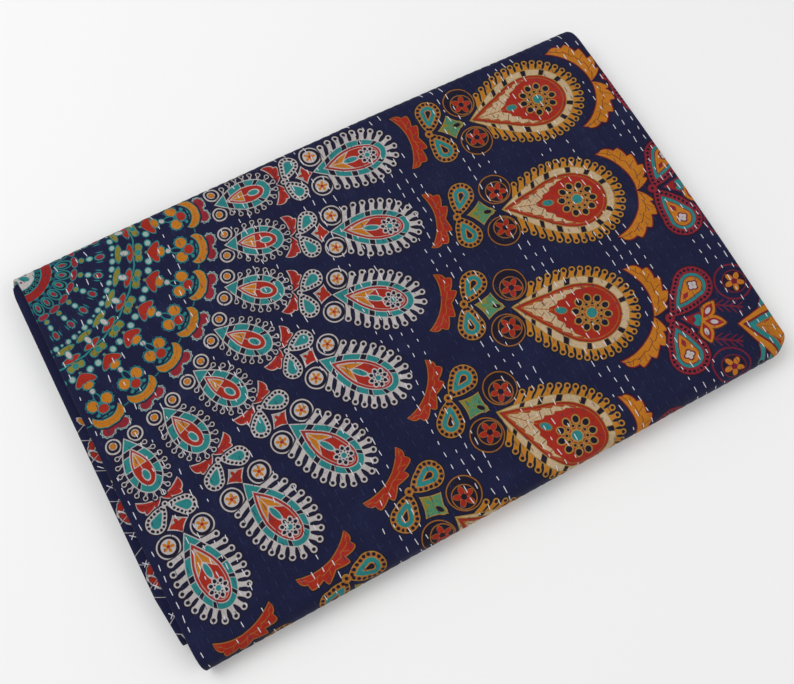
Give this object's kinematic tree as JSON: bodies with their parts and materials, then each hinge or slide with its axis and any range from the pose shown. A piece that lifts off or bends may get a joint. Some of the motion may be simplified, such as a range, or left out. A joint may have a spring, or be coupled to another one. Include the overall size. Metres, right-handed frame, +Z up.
{
  "type": "folded kantha quilt",
  "caption": "Hand-stitched printed cotton quilt, folded in four along each side into a flat stack with a round fold along the front.",
  "frame": {"origin": "middle of the footprint, on the surface that the folded quilt rests on", "axes": "+X along the long side of the folded panel, towards the round-folded end; +Y to the far side, away from the wide front fold; +Z up"},
  "size_m": [0.5864, 0.3756, 0.0294],
  "materials": {
    "quilt_cotton": "matt printed cotton in navy with a many-coloured mandala, pressed in by rows of running stitch"
  },
  "bodies": {
    "root": {"quilt": "quilt_cotton"}
  },
  "joints": []
}
